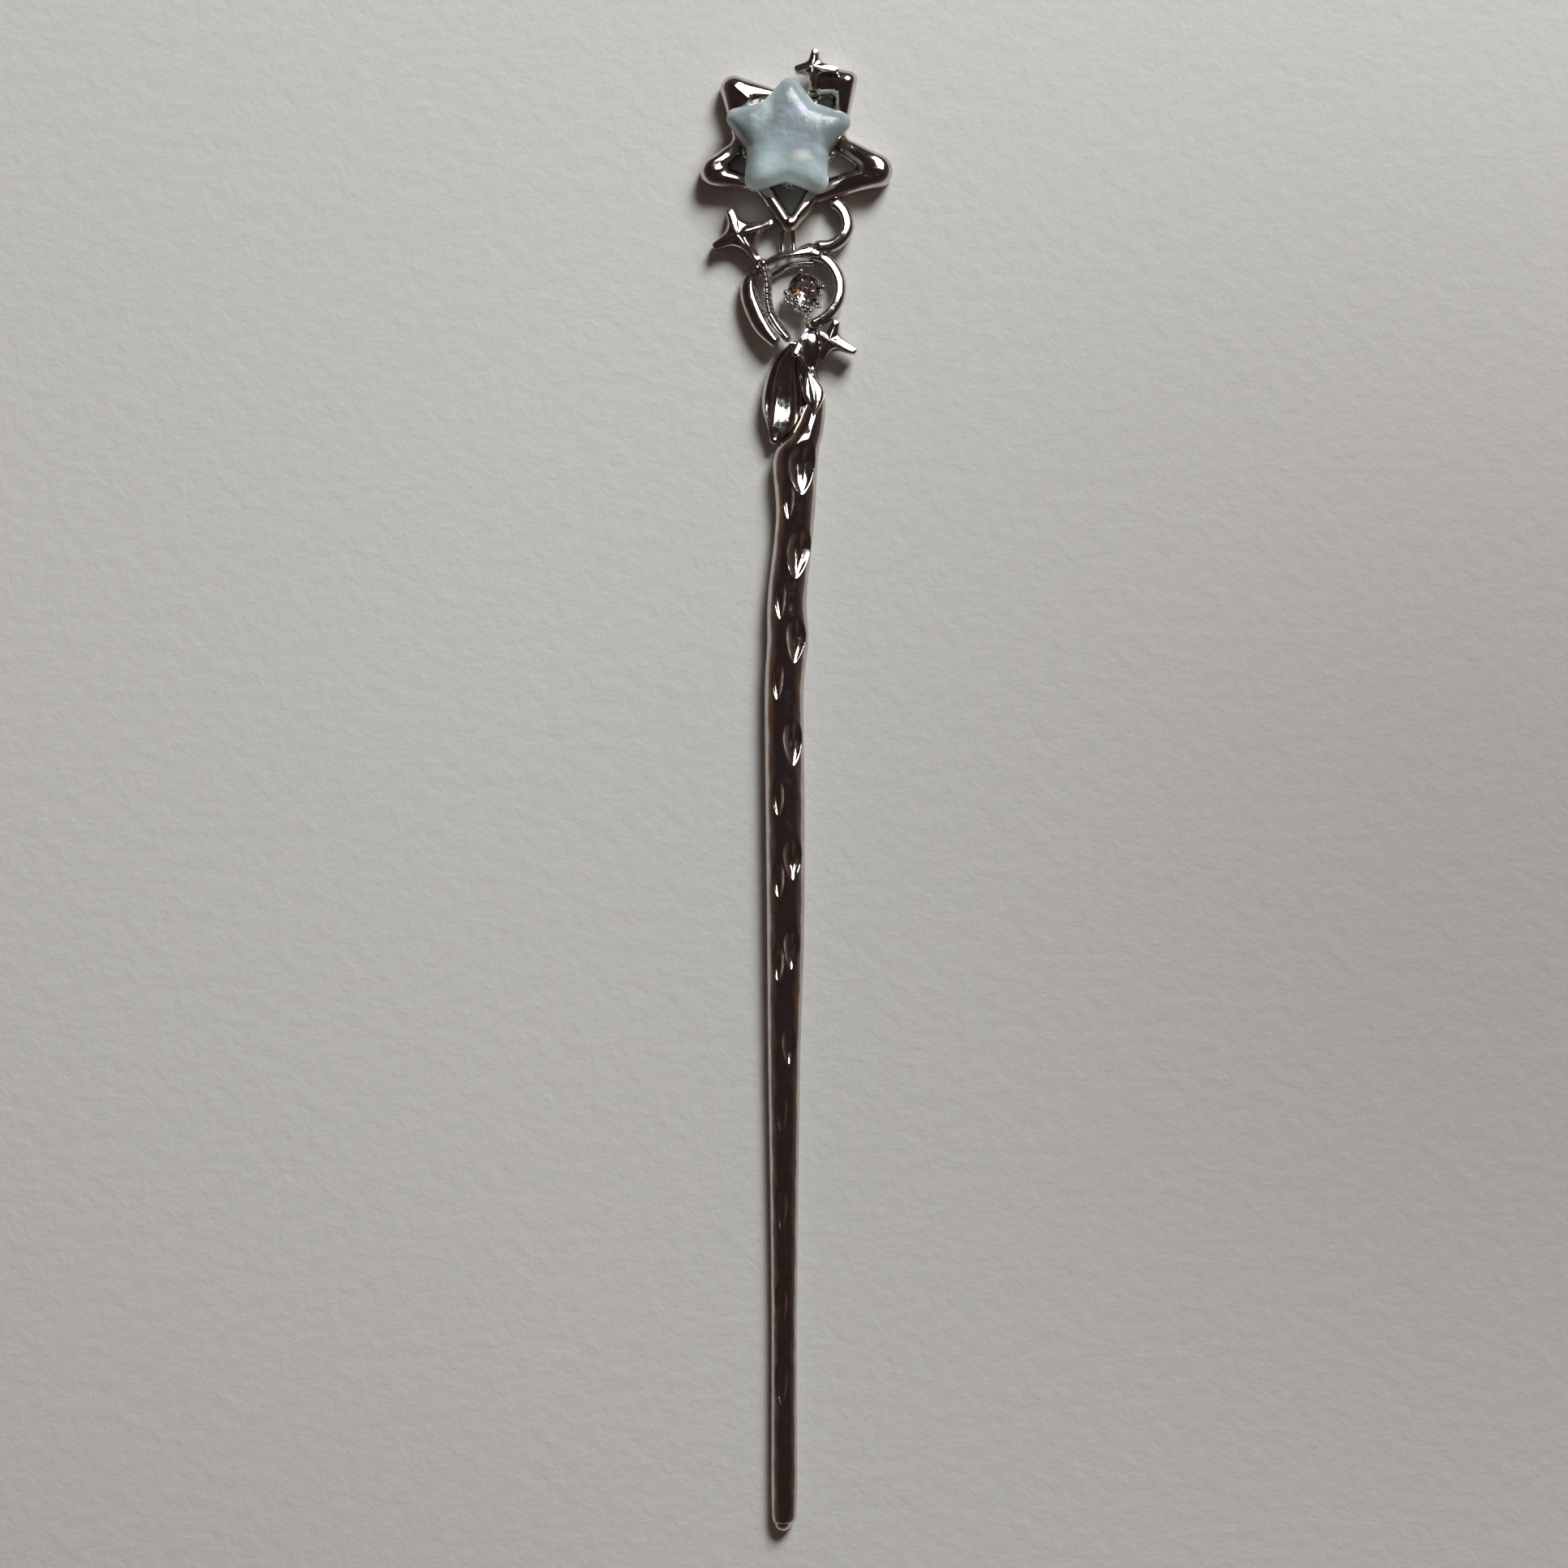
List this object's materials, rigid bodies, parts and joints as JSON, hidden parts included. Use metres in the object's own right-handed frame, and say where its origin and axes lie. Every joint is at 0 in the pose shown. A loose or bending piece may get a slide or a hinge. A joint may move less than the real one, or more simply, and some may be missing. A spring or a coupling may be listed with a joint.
{
  "type": "hair stick",
  "caption": "Metal hair stick with a dimpled tapering shaft, open scrollwork, a hollow star frame and sparkles, set with a puffed translucent star stone and a small faceted round stone.",
  "frame": {"origin": "on the flat back of the star setting's plate, under the middle of the star stone", "axes": "+Y from the shaft's tip to the star head, +Z out of the front face, +X to the right seen from the front"},
  "size_m": [0.022, 0.1694, 0.0066],
  "materials": {
    "plated_metal": "bright gunmetal-silver plating over a zinc casting, polished",
    "pearl_resin": "pale blue translucent resin with a pearly moonstone glow, smooth",
    "clear_adhesive": "clear cured glue, glossy, dark at its edge",
    "clear_crystal": "faceted clear crystal glass",
    "mirror_foil": "thin silver foil behind the crystal"
  },
  "bodies": {
    "root": {"shaft": "plated_metal", "leaf_large": "plated_metal", "leaf_small": "plated_metal", "shaft_curl": "plated_metal", "leaf_midrib": "plated_metal", "strand_outer": "plated_metal", "strand_inner": "plated_metal", "stone_ring": "plated_metal", "crossbar_upper": "plated_metal", "crossbar_lower": "plated_metal", "bow_loop": "plated_metal", "link_posts": "plated_metal", "joint_bead": "plated_metal", "star_frame": "plated_metal", "setting_plate": "plated_metal", "star_claws": "plated_metal", "star_adhesive": "clear_adhesive", "star_cabochon": "pearl_resin", "sparkle_top": "plated_metal", "sparkle_left": "plated_metal", "sparkle_right": "plated_metal", "stone_cup": "plated_metal", "stone_prongs": "plated_metal", "gallery_beads": "plated_metal", "stone_foil": "mirror_foil", "round_stone": "clear_crystal"}
  },
  "joints": []
}
